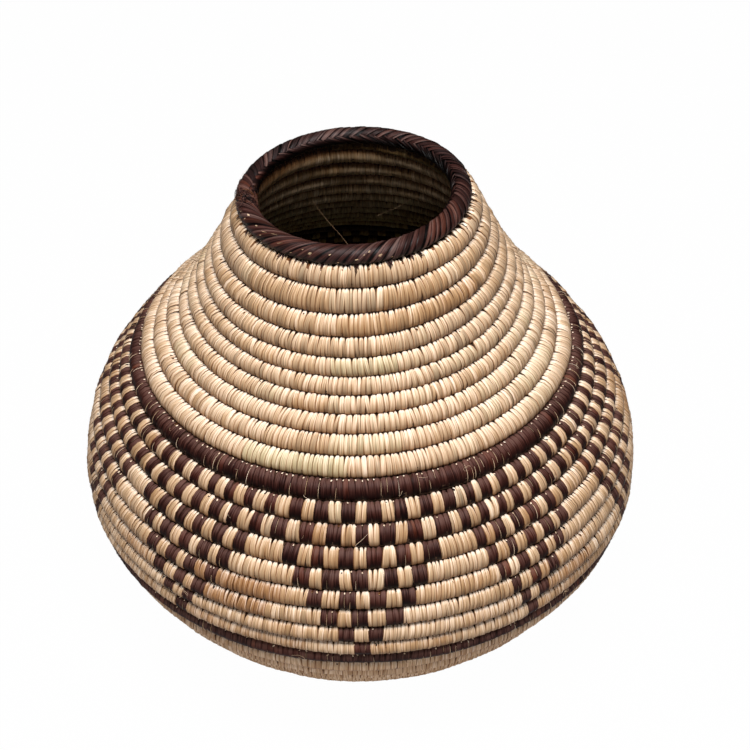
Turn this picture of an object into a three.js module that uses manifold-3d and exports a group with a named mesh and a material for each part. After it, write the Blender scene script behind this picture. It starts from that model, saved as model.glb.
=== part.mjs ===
// Coiled palm basket.
// One long coil of palm fibre, wrapped and sewn with split leaf, is wound from the middle of the base
// up over the belly to the neck. Each round of the coil is a piece, sewn to the round below it.
// Millimetres, +Z up, the middle of the base on the floor at the origin, the front towards -Y.

import * as THREE from 'three';
import { mergeVertices } from 'three/addons/utils/BufferGeometryUtils.js';
import Module from 'manifold-3d';

// Rounds of the coil, counted from the floor up. The start knot is the round before them.
const baseRounds = 5;
const lowerRounds = 11;
const lowerBandRounds = 1;
const patternRounds = 8;
const upperBandRounds = 1;
const neckRounds = 10;

// Outline of the middle of the wall: radius, and height above the floor.
// After the edge of the flat base the places are evenly spaced, counted in rounds of the coil.
const baseEdgeRadius = 62.4;
const footRadius = 98.4;
const footHeight = 16.6;
const lowerBellyRadius = 125.6;
const lowerBellyHeight = 46.3;
const bellyRadius = 143.4;
const bellyHeight = 83.0;
const upperBellyRadius = 138.0;
const upperBellyHeight = 122.3;
const shoulderRadius = 116.0;
const shoulderHeight = 157.0;
const neckFootRadius = 88.7;
const neckFootHeight = 188.3;
const neckRadius = 69.1;
const neckHeight = 220.2;
const lipRadius = 48.9;
const lipHeight = 262.0;

// The neck leans a little to the left of the belly.
const neckLean = -2.2;
const leanStartRound = 28;

// The coil: its thickness across the wall, and the width over which two rounds touch.
const coilThickness = 11.6;
const seamWidth = 8.9;
const baseFlattening = 1.2;
const clearance = 0.3;

// Where the coil starts and where its colours change, in degrees round from the front.
const startAngle = 165;
const facets = 24;

// The rim sits on the neck at a height that rises a little to the right.
const rimSeatRound = 36.79;
const rimSeatRise = 0.22;
const rimRadius = 5.4;
const rimSwell = 0.55;
const braidThickness = 1.5;
const braidHem = 0.6;
const braidArcParts = 6;
const coreArcParts = 3;
const tailFacets = 2;

// The knot that ends the braid, at the left of the mouth, on the inner shoulder of the rim.
const knotFacet = 6;
const knotArcPart = 5;
const knotLength = 9;
const knotWidth = 5;
const knotHeight = 3;

const wasm = await Module();
wasm.setup();

const coilRounds = 1 + baseRounds + lowerRounds + lowerBandRounds + patternRounds + upperBandRounds + neckRounds;
const flatRounds = 1 + baseRounds;
const basePitch = baseEdgeRadius / flatRounds;
const baseHeight = coilThickness / 2 - baseFlattening;

const wallPlaces = [
  new THREE.Vector2(baseEdgeRadius, baseHeight),
  new THREE.Vector2(footRadius, footHeight),
  new THREE.Vector2(lowerBellyRadius, lowerBellyHeight),
  new THREE.Vector2(bellyRadius, bellyHeight),
  new THREE.Vector2(upperBellyRadius, upperBellyHeight),
  new THREE.Vector2(shoulderRadius, shoulderHeight),
  new THREE.Vector2(neckFootRadius, neckFootHeight),
  new THREE.Vector2(neckRadius, neckHeight),
  new THREE.Vector2(lipRadius, lipHeight),
];
const placeSpacing = (coilRounds + 1 - flatRounds) / (wallPlaces.length - 1);

// Direction of the outline at one of its places, per spacing.
function directionAtPlace(index) {
  if (index === 0) {
    return new THREE.Vector2(basePitch * placeSpacing, 0);
  }
  const last = wallPlaces.length - 1;
  const before = wallPlaces[index - 1];
  const after = wallPlaces[Math.min(index + 1, last)];
  return after.clone().sub(before).multiplyScalar(index === last ? 1 : 0.5);
}

// Middle of the wall at a count of rounds from the start: radius and height.
function outline(round) {
  if (round <= flatRounds) {
    return new THREE.Vector2(basePitch * round, baseHeight);
  }
  const along = (round - flatRounds) / placeSpacing;
  const index = Math.min(Math.floor(along), wallPlaces.length - 2);
  const t = along - index;
  const from = wallPlaces[index];
  const to = wallPlaces[index + 1];
  const leaving = directionAtPlace(index);
  const arriving = directionAtPlace(index + 1);
  const point = from.clone().multiplyScalar(2 * t ** 3 - 3 * t ** 2 + 1);
  point.addScaledVector(leaving, t ** 3 - 2 * t ** 2 + t);
  point.addScaledVector(to, 3 * t ** 2 - 2 * t ** 3);
  point.addScaledVector(arriving, t ** 3 - t ** 2);
  return point;
}

// Unit direction up the wall, in radius and height.
function upTheWall(round) {
  const step = 0.01;
  return outline(round + step).sub(outline(round - step)).normalize();
}

// A place in the wall: across is outwards from its middle, up is along its slope.
function inWall(round, across, up) {
  const along = upTheWall(round);
  const outward = new THREE.Vector2(along.y, -along.x);
  return outline(round).addScaledVector(outward, across).addScaledVector(along, up);
}

// Turns a radius and height into a place in space, at an angle round from the front.
function place(profilePoint, angle, round) {
  const radians = THREE.MathUtils.degToRad(angle);
  const leaned = Math.max(0, (round - leanStartRound) / (coilRounds - leanStartRound));
  return new THREE.Vector3(
    profilePoint.x * Math.sin(radians) + neckLean * leaned ** 1.5,
    -profilePoint.x * Math.cos(radians),
    profilePoint.y,
  );
}

// The seat of the rim: the count of rounds at which the rim meets the neck.
function rimSeat(angle) {
  return rimSeatRound + rimSeatRise * Math.sin(THREE.MathUtils.degToRad(angle));
}

// Angle round from the front at a count of rounds.
function angleAt(round) {
  return startAngle + 360 * round;
}

// Closed body through a row of sections with the same number of corners.
function loft(sections, closedRing) {
  const corners = sections[0].length;
  const positions = sections.flat().flatMap((corner) => corner.toArray());
  const indices = [];
  const spans = closedRing ? sections.length : sections.length - 1;
  for (let s = 0; s < spans; s += 1) {
    const next = (s + 1) % sections.length;
    for (let c = 0; c < corners; c += 1) {
      const d = (c + 1) % corners;
      indices.push(s * corners + c, next * corners + c, next * corners + d);
      indices.push(s * corners + c, next * corners + d, s * corners + d);
    }
  }
  return { positions, indices, corners };
}

// Adds flat ends to a loft. The flat outline of a section gives its triangles.
function closeEnds(body, flatStart, flatEnd) {
  const lastStart = body.positions.length / 3 - body.corners;
  for (const [a, b, c] of THREE.ShapeUtils.triangulateShape(flatStart, [])) {
    body.indices.push(a, b, c);
  }
  for (const [a, b, c] of THREE.ShapeUtils.triangulateShape(flatEnd, [])) {
    body.indices.push(lastStart + c, lastStart + b, lastStart + a);
  }
  return body;
}

function toGeometry({ positions, indices }) {
  const geometry = new THREE.BufferGeometry();
  geometry.setAttribute('position', new THREE.Float32BufferAttribute(positions, 3));
  geometry.setIndex(indices);
  return geometry;
}

function toSolid(geometry) {
  const mesh = new wasm.Mesh({
    numProp: 3,
    vertProperties: new Float32Array(geometry.attributes.position.array),
    triVerts: new Uint32Array(geometry.index.array),
  });
  return new wasm.Manifold(mesh);
}

// Cuts away what would reach below the floor, so that the base stands flat.
function standOnFloor(geometry) {
  geometry.computeBoundingBox();
  if (geometry.boundingBox.min.z >= 0) {
    return geometry;
  }
  const reach = 4 * bellyRadius;
  const box = new THREE.BoxGeometry(reach, reach, coilThickness);
  box.translate(0, 0, -coilThickness / 2);
  box.deleteAttribute('normal');
  box.deleteAttribute('uv');
  const cut = toSolid(geometry).subtract(toSolid(mergeVertices(box))).getMesh();
  return toGeometry({ positions: Array.from(cut.vertProperties), indices: Array.from(cut.triVerts) });
}

// Six-sided section of the coil: flat towards both neighbours, a ridge outside and one inside.
function coilSection(round, topRound) {
  const bottomRound = round - 0.5;
  const middleRound = (bottomRound + topRound) / 2;
  const halfSeam = seamWidth / 2;
  const halfCoil = coilThickness / 2;
  const gap = clearance / 2;
  return [
    [inWall(bottomRound, halfSeam, gap), bottomRound],
    [inWall(middleRound, halfCoil, 0), middleRound],
    [inWall(topRound, halfSeam, -gap), topRound],
    [inWall(topRound, -halfSeam, -gap), topRound],
    [inWall(middleRound, -halfCoil, 0), middleRound],
    [inWall(bottomRound, -halfSeam, gap), bottomRound],
  ];
}

// One round of the coil. It leaves a small gap to the rounds before and after it.
function coilRound(number) {
  const isLast = number === coilRounds - 1;
  const spans = isLast ? facets + tailFacets : facets;
  const sections = [];
  let flatStart = [];
  let flatEnd = [];
  for (let i = 0; i <= spans; i += 1) {
    let round = number + i / facets;
    const endGap = clearance / 2 / (2 * Math.PI * outline(round).x);
    if (i === 0) {
      round += endGap;
    }
    if (i === spans) {
      round -= endGap;
    }
    const angle = angleAt(round);
    const topRound = Math.min(round + 0.5, isLast ? rimSeat(angle) : Infinity);
    const section = coilSection(round, topRound);
    sections.push(section.map(([point, at]) => place(point, angle, at)));
    const flat = section.map(([point]) => point);
    flatStart = i === 0 ? flat : flatStart;
    flatEnd = flat;
  }
  return standOnFloor(toGeometry(closeEnds(loft(sections, false), flatStart, flatEnd)));
}

// The knot that starts the coil: a low disc whose edge runs out in a spiral to meet the first round.
function startKnot() {
  const halfSeam = seamWidth / 2;
  const halfCoil = coilThickness / 2;
  const positions = [0, 0, baseHeight + halfCoil, 0, 0, baseHeight - halfCoil];
  for (let i = 0; i <= facets; i += 1) {
    const endGap = i === facets ? clearance / 2 / (2 * Math.PI * basePitch) : 0;
    const round = i / facets - endGap;
    const edge = outline(round + 0.5).x - clearance / 2;
    for (const height of [baseHeight + halfSeam, baseHeight - halfSeam]) {
      positions.push(...place(new THREE.Vector2(edge, height), angleAt(round), 0).toArray());
    }
  }
  const indices = [];
  for (let i = 0; i <= facets; i += 1) {
    const top = 2 + 2 * i;
    const nextTop = 2 + 2 * ((i + 1) % (facets + 1));
    indices.push(0, top, nextTop);
    indices.push(1, nextTop + 1, top + 1);
    indices.push(top, top + 1, nextTop + 1);
    indices.push(top, nextTop + 1, nextTop);
  }
  return standOnFloor(toGeometry({ positions, indices }));
}

// Points of an arch over the rim's seat, from its outer foot over the top to its inner foot.
function arch(radius, footWidth, arcParts) {
  const points = [[footWidth, clearance / 2]];
  for (let i = 0; i <= arcParts; i += 1) {
    const turn = Math.PI * i / arcParts;
    points.push([radius * Math.cos(turn), rimRadius + radius * Math.sin(turn)]);
  }
  points.push([-footWidth, clearance / 2]);
  return points;
}

// The rim is a little thicker at the front than at the back.
function rimRadiusAt(angle) {
  return rimRadius + rimSwell * Math.cos(THREE.MathUtils.degToRad(angle));
}

// Closed ring on the seat of the rim, with its section given for each angle.
function rimRing(sectionAt) {
  const sections = [];
  for (let i = 0; i < facets; i += 1) {
    const angle = angleAt(i / facets);
    const seat = rimSeat(angle);
    sections.push(sectionAt(angle).map(([across, up]) => place(inWall(seat, across, up), angle, seat)));
  }
  return toGeometry(loft(sections, true));
}

// Core of the rim: the bundle that the braid is worked over.
function rimCoil() {
  return rimRing((angle) => {
    const radius = rimRadiusAt(angle) - braidThickness - clearance;
    return arch(radius, radius - braidHem, coreArcParts);
  });
}

// False braid: a band of leaf strips, worked over the rim's core and sewn down outside and inside.
function rimBraid() {
  return rimRing((angle) => {
    const outer = rimRadiusAt(angle);
    const inner = outer - braidThickness;
    const outside = arch(outer, outer - braidHem, braidArcParts);
    const inside = arch(inner, inner, coreArcParts);
    return [...outside, ...inside.reverse()];
  });
}

// Knot at the join of the braid: a small lump on the inner side of the rim, seated on one facet of it.
function rimKnot() {
  const facetAngle = 360 / facets;
  const turn = Math.PI * (knotArcPart - 0.5) / braidArcParts;
  const onFacetEdge = (angle) => {
    const seat = rimSeat(angle);
    const rise = rimRadiusAt(angle) * Math.cos(Math.PI / 2 / braidArcParts) + clearance + knotHeight / 2;
    const profilePoint = inWall(seat, rise * Math.cos(turn), rimRadius + rise * Math.sin(turn));
    return place(profilePoint, angle, seat);
  };
  const before = onFacetEdge(startAngle + knotFacet * facetAngle);
  const after = onFacetEdge(startAngle + (knotFacet + 1) * facetAngle);
  const knotAngle = startAngle + (knotFacet + 0.5) * facetAngle;
  const along = after.clone().sub(before).normalize();
  const middle = rimSeat(knotAngle);
  const inside = place(inWall(middle, 0, rimRadius), knotAngle, middle);
  const outside = place(inWall(middle, Math.cos(turn), rimRadius + Math.sin(turn)), knotAngle, middle);
  const sideways = outside.sub(inside).cross(along).normalize();
  const outward = along.clone().cross(sideways);
  const lump = new THREE.IcosahedronGeometry(0.5, 1);
  lump.deleteAttribute('normal');
  lump.deleteAttribute('uv');
  const knot = mergeVertices(lump);
  knot.scale(knotLength, knotWidth, knotHeight);
  knot.applyMatrix4(new THREE.Matrix4().makeBasis(along, sideways, outward));
  const centre = before.add(after).multiplyScalar(0.5);
  knot.translate(centre.x, centre.y, centre.z);
  return knot;
}

const naturalLeaf = { color: 0xd8bd92, roughness: 0.62, metalness: 0 };
const dyedLeaf = { color: 0x3b211d, roughness: 0.5, metalness: 0 };
const rimLeaf = { color: 0x4a2722, roughness: 0.45, metalness: 0 };

function leafMaterial(leaf) {
  return new THREE.MeshStandardMaterial({ ...leaf, flatShading: true });
}

const basket = new THREE.Group();

function addPiece(name, geometry, leaf) {
  const piece = new THREE.Mesh(geometry, leafMaterial(leaf));
  piece.name = name;
  basket.add(piece);
}

addPiece('start_knot', startKnot(), naturalLeaf);

const bands = [
  { name: 'base_round', rounds: baseRounds, leaf: naturalLeaf },
  { name: 'lower_round', rounds: lowerRounds, leaf: naturalLeaf },
  { name: 'lower_dark_band', rounds: lowerBandRounds, leaf: dyedLeaf },
  { name: 'pattern_round', rounds: patternRounds, leaf: naturalLeaf },
  { name: 'upper_dark_band', rounds: upperBandRounds, leaf: dyedLeaf },
  { name: 'neck_round', rounds: neckRounds, leaf: naturalLeaf },
];
let roundNumber = 1;
for (const band of bands) {
  for (let i = 1; i <= band.rounds; i += 1) {
    const name = band.rounds === 1 ? band.name : `${band.name}_${i}`;
    addPiece(name, coilRound(roundNumber), band.leaf);
    roundNumber += 1;
  }
}

addPiece('rim_coil', rimCoil(), naturalLeaf);
addPiece('rim_braid', rimBraid(), rimLeaf);
addPiece('rim_knot', rimKnot(), rimLeaf);

export default basket;
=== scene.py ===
# Coiled palm basket: one coil wrapped in split leaf from the base to the neck, with a braided dark rim.
# Settings are in millimetres and degrees, the meshes in metres.
# Rounds of the coil are counted from the middle of the base, and in fractions within a round.
# An angle goes round the basket, from its front to the right. A turn goes round the coil itself: 0 is
# outwards, 90 up the wall and 180 inwards.
import math

import bpy
import numpy as np
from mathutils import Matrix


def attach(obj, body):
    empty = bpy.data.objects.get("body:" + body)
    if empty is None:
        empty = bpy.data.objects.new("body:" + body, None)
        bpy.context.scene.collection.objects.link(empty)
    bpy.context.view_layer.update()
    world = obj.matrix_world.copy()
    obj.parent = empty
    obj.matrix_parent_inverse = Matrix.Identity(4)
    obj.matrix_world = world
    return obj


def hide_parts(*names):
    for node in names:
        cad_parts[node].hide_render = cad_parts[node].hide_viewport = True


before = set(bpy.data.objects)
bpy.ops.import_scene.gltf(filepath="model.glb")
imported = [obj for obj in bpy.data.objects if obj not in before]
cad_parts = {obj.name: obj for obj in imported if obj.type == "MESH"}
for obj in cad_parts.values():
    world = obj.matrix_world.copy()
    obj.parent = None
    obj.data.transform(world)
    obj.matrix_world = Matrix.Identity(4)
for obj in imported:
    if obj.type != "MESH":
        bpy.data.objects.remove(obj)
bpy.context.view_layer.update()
mm = 0.001

# the wall as it is wound: radius and height of its middle at evenly spaced rounds of the coil
wall = {
    "places": [(62.4, 4.6), (98.4, 16.6), (125.6, 46.3), (143.4, 83.0), (138.0, 122.3),
               (116.0, 157.0), (88.7, 188.3), (69.1, 220.2), (48.9, 262.0)],
    "flatRounds": 6,
    "lowerBand": 17,
    "upperBand": 26,
    "lastRound": 37,  # where the last whole round ends
    "tail": 2 / 24,  # how far the coil still runs on
    "startAngle": 165,
    "lean": -1.0,
    "leanStart": 28,
    "uneven": [  # round, how far it lies up the wall all round, more at the right, more at both sides
        (8, 0, 0, 0), (13, 0, -0.04, -0.13), (16, 0.08, -0.09, -0.14), (17.5, 0.08, -0.1, -0.17),
        (18.5, -0.06, -0.14, -0.18), (19.5, -0.16, -0.02, -0.18), (20.5, -0.21, 0.1, -0.16),
        (22, -0.19, 0.13, -0.1), (23.5, -0.13, 0.06, -0.06), (25, -0.06, 0.06, -0.11),
        (27, 0, 0.12, -0.14), (29, -0.02, 0.14, -0.05), (31, -0.12, 0.2, 0.16),
        (33, -0.11, 0.27, 0.17), (35, -0.09, 0.18, 0.03), (36.7, 0, 0, 0),
    ],
}


def readTable(table, at):  # values between the rows, for each column after the first
    places, *columns = zip(*table)
    values = [np.interp(at, places, column) for column in columns]
    return values if len(values) > 1 else values[0]


def outline(rounds):
    rounds = np.asarray(rounds, float)
    places = np.array(wall["places"])
    edgeRadius, baseHeight = places[0]
    flat = wall["flatRounds"]
    spacing = (wall["lastRound"] + 1 - flat) / (len(places) - 1)
    ways = np.empty_like(places)
    ways[1:-1] = (places[2:] - places[:-2]) / 2
    ways[0] = (edgeRadius / flat * spacing, 0)
    ways[-1] = places[-1] - places[-2]
    along = (rounds - flat) / spacing
    index = np.clip(np.floor(along).astype(int), 0, len(places) - 2)
    t = (along - index)[..., None]
    curve = (places[index] * (2 * t**3 - 3 * t**2 + 1) + ways[index] * (t**3 - 2 * t**2 + t)
             + places[index + 1] * (3 * t**2 - 2 * t**3) + ways[index + 1] * (t**3 - t**2))
    base = np.stack([edgeRadius / flat * rounds, np.full(rounds.shape, baseHeight)], -1)
    return np.where((rounds <= flat)[..., None], base, curve)


def roundLength(rounds):
    return 2 * math.pi * outline(rounds)[..., 0]


def halfPitch(rounds):  # half the way from one round up to the next
    return np.linalg.norm(outline(rounds + 0.5) - outline(rounds - 0.5), axis=-1) / 2


def inWall(rounds, across, up=0):
    along = outline(rounds + 0.01) - outline(rounds - 0.01)
    along = along / np.linalg.norm(along, axis=-1, keepdims=True)
    outward = np.stack([along[..., 1], -along[..., 0]], -1)
    return outline(rounds) + outward * np.asarray(across)[..., None] + along * np.asarray(up)[..., None]


def place(profile, angle, rounds):  # radius and height to a place in space
    radius, height = profile[..., 0], profile[..., 1]
    leaned = np.clip((rounds - wall["leanStart"]) / (wall["lastRound"] - wall["leanStart"]), 0, None) ** 1.5
    turn = np.radians(angle)
    return np.stack([radius * np.sin(turn) + wall["lean"] * leaned, -radius * np.cos(turn), height], -1)


def angleAt(rounds):
    return wall["startAngle"] + 360 * rounds


def settled(angle, rounds):  # a round wound by hand isn't quite level
    allRound, right, sides = readTable(wall["uneven"], rounds)
    turn = np.sin(np.radians(angle))
    return rounds + allRound + right * turn + sides * turn**2


# the rim's seat on the neck
rim = {
    "seatRound": 36.79,
    "seatRise": 0.22,
    "radius": 5.4,
    "swell": 0.55,
    "shift": (-1.3, 0, 0),  # the rim sits a little to the left of the neck
}
rimShift = np.array(rim["shift"])
neckRadius = outline(rim["seatRound"])[0]


def rimSeat(angle):
    return rim["seatRound"] + rim["seatRise"] * np.sin(np.radians(angle))


def selectEdges(piece, test):  # leaves the piece in edit mode with the edges that pass the test selected
    bpy.context.tool_settings.mesh_select_mode = (False, True, False)
    bpy.ops.object.mode_set(mode="EDIT")
    bpy.ops.mesh.select_all(action="DESELECT")
    bpy.ops.object.mode_set(mode="OBJECT")
    points = piece.data.vertices
    for edge in piece.data.edges:
        edge.select = test(*(points[i].co for i in edge.vertices))
    bpy.ops.object.mode_set(mode="EDIT")


def modelLeaf(steps, columns, flatShare, steepness):  # a strip of leaf: x across, y along, closed below
    bpy.ops.object.select_all(action="DESELECT")
    bpy.ops.mesh.primitive_grid_add(x_subdivisions=columns, y_subdivisions=steps, size=1)
    leaf = bpy.context.object
    selectEdges(leaf, lambda a, b: abs(a.x) < 0.49 and abs(b.x) < 0.49)  # all but the long sides
    bpy.ops.transform.translate(value=(0, 0, 1))
    bpy.ops.transform.resize(value=(flatShare * columns / (columns - 2), 1, 1))
    selectEdges(leaf, lambda a, b: a.x * b.x > 0.24 and abs(a.y - b.y) > 1e-4)  # the long sides
    bpy.ops.mesh.bridge_edge_loops()
    bpy.ops.mesh.select_all(action="SELECT")
    bpy.ops.mesh.fill_holes(sides=2 * columns + 2)
    bpy.ops.mesh.select_all(action="SELECT")
    bpy.ops.mesh.normals_make_consistent(inside=False)
    bpy.ops.object.mode_set(mode="OBJECT")
    points = np.array([v.co for v in leaf.data.vertices])
    faces = [list(p.vertices) for p in leaf.data.polygons]
    bpy.data.objects.remove(leaf)
    side = points[:, 0]
    row = np.rint((points[:, 1] + 0.5) * steps).astype(int)
    column = np.searchsorted(np.unique(np.round(side, 4)), np.round(side, 4))
    crown = np.clip(steepness * (1 - (2 * side) ** 2), 0, 1)
    return {"side": side, "row": row, "along": row / steps, "column": column, "crown": crown, "faces": faces}


# one strip wrapped over the coil: from the groove inside, over the top, to the groove outside,
# where its tip may bite into the round below
wrap = {
    "rows": [  # turn on the section, width, crown, painted shade in the groove
        (-108, 0.7, 0.5, 1.0), (-132, 0.95, 1.3, 0.62), (-160, 1.04, 0.8, 0.0), (160, 1.04, 0.8, 0.0),
        (128, 0.9, 1.3, 0.66), (104, 0.5, 0.8, 1.0), (85, 0.14, 1.5, 0.55), (74, 0.42, 1.5, 0.0),
        (60, 0.82, 1.2, 0.0), (40, 1.0, 0.8, 0.0), (6, 1.0, 0.65, 0.0), (-25, 1.0, 0.65, 0.15),
        (-50, 0.98, 0.85, 0.42), (-67, 0.86, 1.0, 0.78), (-80, 0.66, 0.8, 1.0), (-87, 0.18, 0.4, 0.3)],
    "squareness": 2.06,
    "halfThickness": 5.2,
    "biteAcross": 4.3,
    "biteUp": -1.24,
    "toothRise": 0.13,  # how far the top round reaches up over the foot of the rim
    "ragged": [(0.05, 67, 0), (0.04, 113, 1)],  # its upper edge: height in rounds, waves, start
    "wander": [(0.22, 5, 2.1), (0.18, 11, -3.7)],  # how the coil swells: mm, waves, drift up the rounds
    "tailThinning": 0.3,
    "tailStart": 1 / 16,  # the stretch over which the tail thins
    "sole": 1.2,  # the underside is pressed flat by standing
    "edgeShade": [(14, 0.8), (18, 0.76)],  # shade between two strips, by round
    "edgeInside": 0.6,
    "foot": [(-50, 1), (22, 0)],  # share of a strip's footShade, by turn
    # painted light by turn: the upper half of a strip lighter than the lower, its tip at the top lighter
    # still
    "paintedTopLight": [(-50, -1), (50, 1)],
    "paintedTipLight": [(42, 0), (74, 1)],
    "eaves": [(16, 0.45), (19, 0)],  # shade that the round above throws on the lower wall, by round
    "eavesReach": [(12, 0), (52, 1)],
    "inside": [(24, 1.0), (28, 0.85), (31, 0.6), (34, 0.2), (36.4, 0.2), (36.7, 0.9)],  # painted shade in the belly, by round
    "underRim": {"start": 36.3, "rise": 0.35, "reach": 0.4, "shade": 0.5, "tailShade": 0.6},
}
leafShape = modelLeaf(len(wrap["rows"]) - 1, 3, 0.64, 2.6)
smallShape = modelLeaf(5, 3, 0.7, 2)
braidShape = modelLeaf(12, 7, 0.85, 4)
print("leaf strips modelled")


def coilSection(turns):  # place and outward direction on the rounded section of the coil
    c, s = np.cos(turns), np.sin(turns)
    power = 2 / wrap["squareness"]
    across, up = np.sign(c) * abs(c) ** power, np.sign(s) * abs(s) ** power
    outAcross, outUp = np.sign(c) * abs(c) ** (2 - power), np.sign(s) * abs(s) ** (2 - power)
    size = np.hypot(outAcross, outUp)
    return across, up, outAcross / size, outUp / size


def onCoil(rounds, across, up):  # across in mm, up from -1 at the lower seam to 1 at the upper one
    angle = angleAt(rounds)
    turn = np.radians(angle)
    ragged = sum(size * np.sin(np.radians(waves * angle) + start) for size, waves, start in wrap["ragged"])
    top = rounds + 0.5
    lastTop = np.minimum(top, rimSeat(angle) + wrap["toothRise"] + ragged)
    top = np.where(rounds > wall["lastRound"] - 1.001, lastTop, top)
    here = rounds - 0.5 + (1 + up) * (top - rounds + 0.5) / 2
    here = np.maximum(settled(angle, here), 0.02)
    inTail = np.clip((rounds - wall["lastRound"]) / wrap["tailStart"], 0, 1)
    across = across * (1 - wrap["tailThinning"] * inTail)
    wander = sum(size * np.sin(waves * turn + drift * here) for size, waves, drift in wrap["wander"])
    points = place(inWall(here, across + wander * np.sign(across)), angle, here)
    height, sole = points[..., 2], wrap["sole"]
    points[..., 2] = np.where(height < sole, sole * np.exp((height - sole) / sole), height)
    return points


def laid(rounds, slide, section, lift, bite=0):  # leaf on the coil; where bite is 1 it is in the round below
    across, up, outAcross, outUp = section
    across = wrap["halfThickness"] * across + lift * outAcross
    up = up + lift * outUp / halfPitch(rounds)
    across = across + (wrap["biteAcross"] + 0.5 * lift - across) * bite
    up = up + (wrap["biteUp"] - up) * bite
    return onCoil(rounds + slide / roundLength(rounds), across, up)


def copied(leaf, count):  # the faces of many copies of one leaf shape
    loops = np.concatenate(leaf["faces"])
    starts = np.arange(count)[:, None] * len(leaf["side"])
    return (loops[None] + starts).ravel(), np.tile([len(face) for face in leaf["faces"]], count)


leafKeys = ("leafHue", "leafToneAndPaintedLight", "paintedLeafShade", "paintedInsideShade")
sharpAngle = 58  # folds sharper than this keep their edge


def meshPart(points, faces, *values, slot=0):  # values: place on the strip in mm, twice, then as in leafKeys
    values = values + (0,) * (len(leafKeys) + 2 - len(values))
    values = np.stack([np.broadcast_to(value, points.shape[:-1]).ravel() for value in values])
    return {"points": points.reshape(-1, 3), "faces": faces, "values": values, "slot": slot}


def makePiece(name, parts, materials):
    points = np.concatenate([part["points"] for part in parts])
    starts = np.cumsum([0] + [len(part["points"]) for part in parts[:-1]])
    loops = np.concatenate([part["faces"][0] + start for part, start in zip(parts, starts)])
    sizes = np.concatenate([part["faces"][1] for part in parts])
    slots = np.concatenate([np.full(len(part["faces"][1]), part["slot"]) for part in parts])
    values = np.concatenate([part["values"] for part in parts], axis=1).astype(np.float32)
    mesh = bpy.data.meshes.new(name)
    mesh.vertices.add(len(points))
    mesh.vertices.foreach_set("co", (points * mm).ravel())
    mesh.loops.add(len(loops))
    mesh.loops.foreach_set("vertex_index", loops)
    mesh.polygons.add(len(sizes))
    mesh.polygons.foreach_set("loop_start", np.concatenate([[0], np.cumsum(sizes)[:-1]]))
    mesh.polygons.foreach_set("material_index", slots.astype(np.int32))
    mesh.update(calc_edges=True)
    for key, value in zip(leafKeys, values[2:]):
        mesh.attributes.new(key, "FLOAT", "POINT").data.foreach_set("value", value)
    mesh.uv_layers.new(name="leaf").data.foreach_set("uv", values[:2, loops].T.ravel())
    for material in materials:
        mesh.materials.append(material)
    piece = bpy.data.objects.new(name, mesh)
    bpy.context.scene.collection.objects.link(piece)
    bpy.ops.object.select_all(action="DESELECT")
    piece.select_set(True)
    bpy.context.view_layer.objects.active = piece
    bpy.ops.object.shade_smooth_by_angle(angle=math.radians(sharpAngle))
    return piece


def wrapStrips(strips):  # strips laid round the coil, each value given once for each strip
    turns, width, crown, paintedShade = np.array(wrap["rows"])[leafShape["row"]].T
    section = coilSection(np.radians(turns))
    across, up = section[:2]
    side = leafShape["side"]
    strip = {key: value[:, None] for key, value in strips.items()}
    middle = strip["round"]
    slide = side * strip["width"] * width + strip["slant"] * up + strip["bow"] * up**2
    lift = strip["lift"] + strip["crown"] * crown * leafShape["crown"] + strip["tilt"] * side * (across > 0)
    bite = np.where(leafShape["along"] == 1, strip["bite"], 0)

    inside, outside = abs(turns) > 100, abs(turns) < 95
    rimShade = wrap["underRim"]
    high = middle + up / 2 - rimShade["start"] - rimShade["rise"] * np.sin(np.radians(angleAt(middle)))
    under = rimShade["shade"] * np.clip(high / rimShade["reach"], 0, 1)
    shades = np.broadcast_arrays(
        paintedShade,
        readTable(wrap["edgeShade"], middle) * np.where(inside, wrap["edgeInside"], 1) * (abs(side) > 0.45),
        np.where(middle > wall["lastRound"], rimShade["tailShade"], under) * inside,
        np.sqrt(strip["shade"] * readTable(wrap["foot"], turns)) * outside,
        readTable(wrap["eaves"], middle) * readTable(wrap["eavesReach"], turns) * outside,
    )
    # painted light: the upper half and the top tip of each strip are made lighter
    paintedLight = strip["paintedTopLight"] * readTable(wrap["paintedTopLight"], turns) + strip["paintedTipLight"] * readTable(wrap["paintedTipLight"], turns)
    return meshPart(
        laid(middle, slide, section, lift, bite), copied(leafShape, len(middle)),
        side * strip["width"] + 40 * strip["seed"], 3 * leafShape["row"] + 60 * strip["seed"],
        strip["hue"], strip["tone"] + paintedLight * outside, np.maximum.reduce(shades),
        readTable(wrap["inside"], middle) * inside)


marked = {  # pale marks on the dyed rounds
    "tips": {  # of the natural leaf above, that bite into the dyed leaf
        "share": (0.3, 0.6),  # of the dyed strips, in the pattern and in the upper dark band
        "start": (52, 62), "length": (7, 13), "width": (0.45, 0.95),
        "lift": 0.36, "hue": (0.6, 0.68), "tone": (0.9, 1.3)},
    "slivers": {  # thin splits of leaf between the dyed strips
        "share": (0.2, 0.36),
        "start": [64, 40, 10], "length": (40, 110), "width": (0.12, 0.3),
        "lift": 0.16, "hue": (0.3, 0.65), "tone": (-0.1, 0.9)},
    "lowest": -64,
    "slant": 0.25,
    "crown": 0.12,
    "dimmer": 0.3,  # how much darker they are in the pattern
}


def coilMarks(marks):  # small strips laid on the wrapping, each from its own start turn to its end turn
    mark = {key: value[:, None] for key, value in marks.items()}
    y, side = smallShape["along"], smallShape["side"]
    section = coilSection(np.radians(mark["from"] + (mark["to"] - mark["from"]) * y))
    width = mark["width"] * np.sin(math.pi * (y * 0.8 + 0.1))
    slide = side * width + mark["slant"] * (y - 0.5)
    points = laid(mark["round"], slide, section, mark["lift"] + marked["crown"] * smallShape["crown"])
    seed = 50 * mark["hue"]
    return meshPart(points, copied(smallShape, len(points)), side * width + seed, 6 * y + seed,
                    mark["hue"], mark["tone"])


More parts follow.
